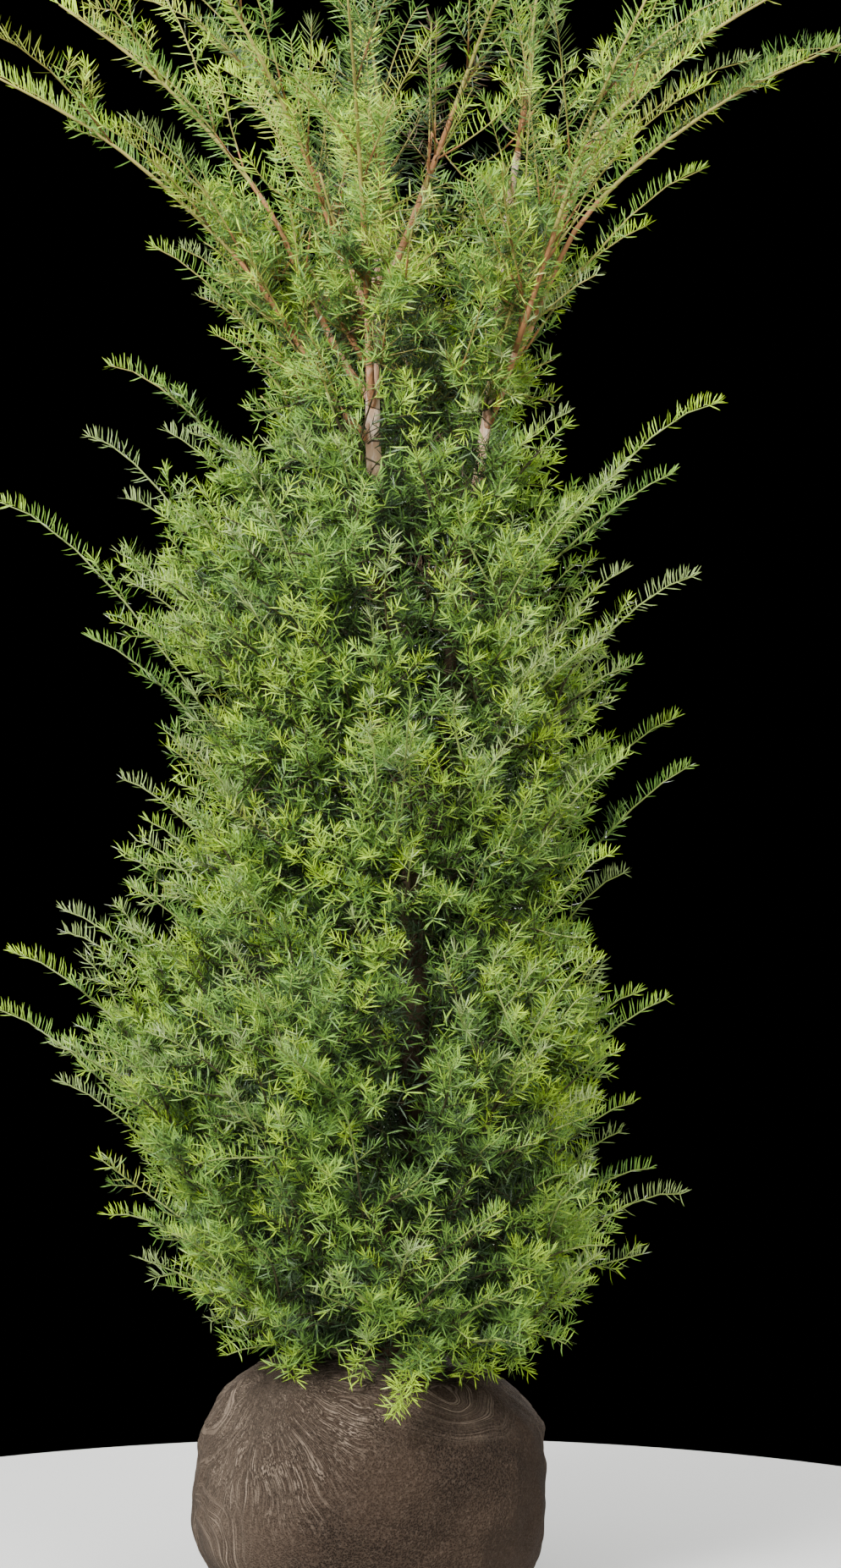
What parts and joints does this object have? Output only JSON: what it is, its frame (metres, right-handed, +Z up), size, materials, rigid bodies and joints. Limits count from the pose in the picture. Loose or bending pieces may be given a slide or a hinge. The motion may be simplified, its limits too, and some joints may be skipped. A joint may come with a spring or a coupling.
{
  "type": "root-balled yew shrub",
  "caption": "Field-grown yew bush standing on a net-wrapped ball of soil, with a dense needled column and an open vase of long shoots on top",
  "frame": {"origin": "The middle of the ball's flat underside, on the surface that the plant stands on", "axes": "+Z up along the trunk; the front of the plant, as pictured, faces -Y and its right side is +X"},
  "size_m": [1.1104, 0.8268, 2.0891],
  "materials": {
    "soil_in_brown_net": "matt brown-grey knitted net drawn tight over moist soil",
    "yew_bark": "matt thin scaly bark, pinkish tan to reddish brown",
    "yew_needles": "satin needles, deep green inside and yellow-green at the tips"
  },
  "bodies": {
    "root": {"bough_back": "yew_bark", "bough_back_left": "yew_bark", "bough_back_right": "yew_bark", "bough_centre_right": "yew_bark", "bough_front": "yew_bark", "bough_front_left": "yew_bark", "bough_front_right": "yew_bark", "bough_left_high": "yew_bark", "bough_left_low": "yew_bark", "bough_right_far": "yew_bark", "bough_right_low": "yew_bark", "foliage_neck_back_left": "yew_needles", "foliage_neck_back_right": "yew_needles", "foliage_neck_front_left": "yew_needles", "foliage_tier1_back": "yew_needles", "foliage_tier1_front": "yew_needles", "foliage_tier1_left_back": "yew_needles", "foliage_tier1_left_front": "yew_needles", "foliage_tier1_right_back": "yew_needles", "foliage_tier1_right_front": "yew_needles", "foliage_tier2_back_left": "yew_needles", "foliage_tier2_back_right": "yew_needles", "foliage_tier2_front_left": "yew_needles", "foliage_tier2_front_right": "yew_needles", "foliage_tier2_left": "yew_needles", "foliage_tier2_right": "yew_needles", "foliage_tier3_back": "yew_needles", "foliage_tier3_front": "yew_needles", "foliage_tier3_left_back": "yew_needles", "foliage_tier3_left_front": "yew_needles", "foliage_tier3_right_back": "yew_needles", "foliage_tier3_right_front": "yew_needles", "foliage_tier4_back_left": "yew_needles", "foliage_tier4_back_right": "yew_needles", "foliage_tier4_front_left": "yew_needles", "foliage_tier4_front_right": "yew_needles", "foliage_tier4_left": "yew_needles", "foliage_tier4_right": "yew_needles", "foliage_top_back": "yew_needles", "foliage_top_back_left": "yew_needles", "foliage_top_back_right": "yew_needles", "foliage_top_centre_right": "yew_needles", "foliage_top_front": "yew_needles", "foliage_top_front_left": "yew_needles", "foliage_top_front_right": "yew_needles", "foliage_top_leader": "yew_needles", "foliage_top_left_high": "yew_needles", "foliage_top_left_low": "yew_needles", "foliage_top_right_far": "yew_needles", "foliage_top_right_low": "yew_needles", "foliage_top_trunk": "yew_needles", "foliage_waist_back_left": "yew_needles", "foliage_waist_back_right": "yew_needles", "foliage_waist_front_left": "yew_needles", "foliage_waist_front_right": "yew_needles", "root_ball": "soil_in_brown_net", "second_leader": "yew_bark", "trunk": "yew_bark"}
  },
  "joints": []
}
